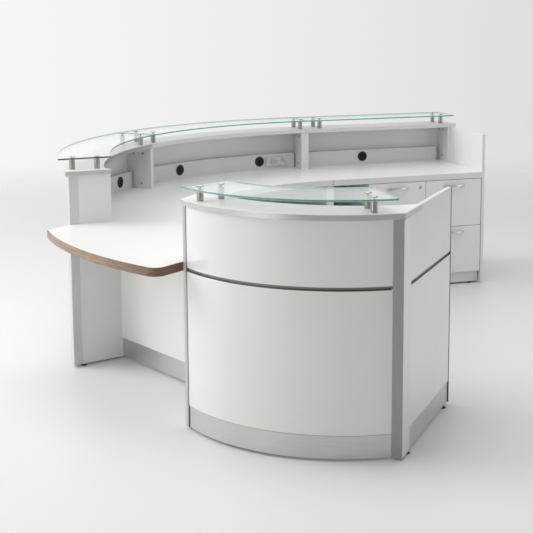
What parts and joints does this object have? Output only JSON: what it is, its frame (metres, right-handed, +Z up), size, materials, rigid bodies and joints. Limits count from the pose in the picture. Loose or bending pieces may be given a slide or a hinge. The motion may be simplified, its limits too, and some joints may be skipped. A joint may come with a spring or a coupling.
{
  "type": "reception counter",
  "caption": "Curved white service counter with raised riser boards, glass shelves, a low counter, a bow-fronted unit and two drawer pedestals.",
  "frame": {"origin": "on the floor under the middle of the counter's bounding box", "axes": "+Z up; +X along the straight unit towards its closed end; +Y towards the customers' side of the straight unit"},
  "size_m": [3.0414, 3.4474, 1.076],
  "materials": {
    "gloss_panel": "white high gloss laminate on board",
    "board": "white matt laminate on board",
    "worktop": "pale grey-white fine textured laminate",
    "drawer_front": "white satin laminate",
    "edge_band": "brown wood-look lined edge band",
    "dark_trim": "dark anodised edge profile",
    "profile": "silver anodised, ribbed",
    "kick_plate": "brushed silver",
    "steel": "brushed",
    "black_plastic": "fine grain",
    "pale_plastic": "fine grain, pale grey",
    "glass": "clear, polished edges with a green tint"
  },
  "bodies": {
    "counter": {"upper_panel_one": "gloss_panel", "lower_panel_one": "gloss_panel", "worktop_one": "worktop", "riser_board_one": "worktop", "glass_one_shelf": "glass", "upper_panel_two": "gloss_panel", "lower_panel_two": "gloss_panel", "worktop_two": "worktop", "riser_board_two": "worktop", "glass_two_shelf": "glass", "upper_panel_three": "gloss_panel", "lower_panel_three": "gloss_panel", "worktop_three": "worktop", "riser_board_three": "worktop", "glass_three_shelf": "glass", "bow_glass_shelf": "glass", "groove_rails": "profile", "kick_plates": "kick_plate", "riser_divider_one": "board", "riser_gables": "board", "support_gables": "board", "leg_gable": "board", "riser_end_gable": "board", "left_end_posts": "profile", "end_panel_right": "board", "bow_upper_panel": "gloss_panel", "bow_lower_panel": "gloss_panel", "bow_left_gable": "board", "bow_end_upper_panel": "gloss_panel", "bow_end_lower_panel": "gloss_panel", "bow_corner_post": "profile", "bow_edge_trims": "dark_trim", "bow_worktop": "worktop", "bow_riser_board": "worktop", "low_worktop": "worktop", "low_edge_band": "edge_band", "low_front_panel": "gloss_panel", "standoff_posts": "steel", "standoff_caps": "steel", "cable_trunking": "profile", "cable_outlets": "black_plastic", "power_sockets": "pale_plastic", "pedestal_left": "board", "pedestal_right": "board", "slide_channels": "steel", "levelling_feet": "black_plastic"},
    "drawer_one": {"drawer_front_one": "drawer_front", "drawer_box_one": "board", "handle_one": "steel"},
    "drawer_two": {"drawer_front_two": "drawer_front", "drawer_box_two": "board", "handle_two": "steel"},
    "drawer_three": {"drawer_front_three": "drawer_front", "drawer_box_three": "board", "handle_three": "steel"},
    "drawer_four": {"drawer_front_four": "drawer_front", "drawer_box_four": "board", "handle_four": "steel"},
    "lock": {"lock_barrel": "steel"}
  },
  "joints": [
    {"name": "drawer_one_slide", "type": "slide", "parent": "counter", "child": "drawer_one", "axis": [0, -1, 0], "range_m": [0, 0.42]},
    {"name": "drawer_two_slide", "type": "slide", "parent": "counter", "child": "drawer_two", "axis": [0, -1, 0], "range_m": [0, 0.42]},
    {"name": "drawer_three_slide", "type": "slide", "parent": "counter", "child": "drawer_three", "axis": [0, -1, 0], "range_m": [0, 0.42]},
    {"name": "drawer_four_slide", "type": "slide", "parent": "counter", "child": "drawer_four", "axis": [0, -1, 0], "range_m": [0, 0.42]},
    {"name": "lock_turn", "type": "hinge", "parent": "drawer_one", "child": "lock", "pos_m": [1.00134, 0.97271, 0.661], "axis": [0, -1, 0], "range_deg": [0, 90]}
  ]
}
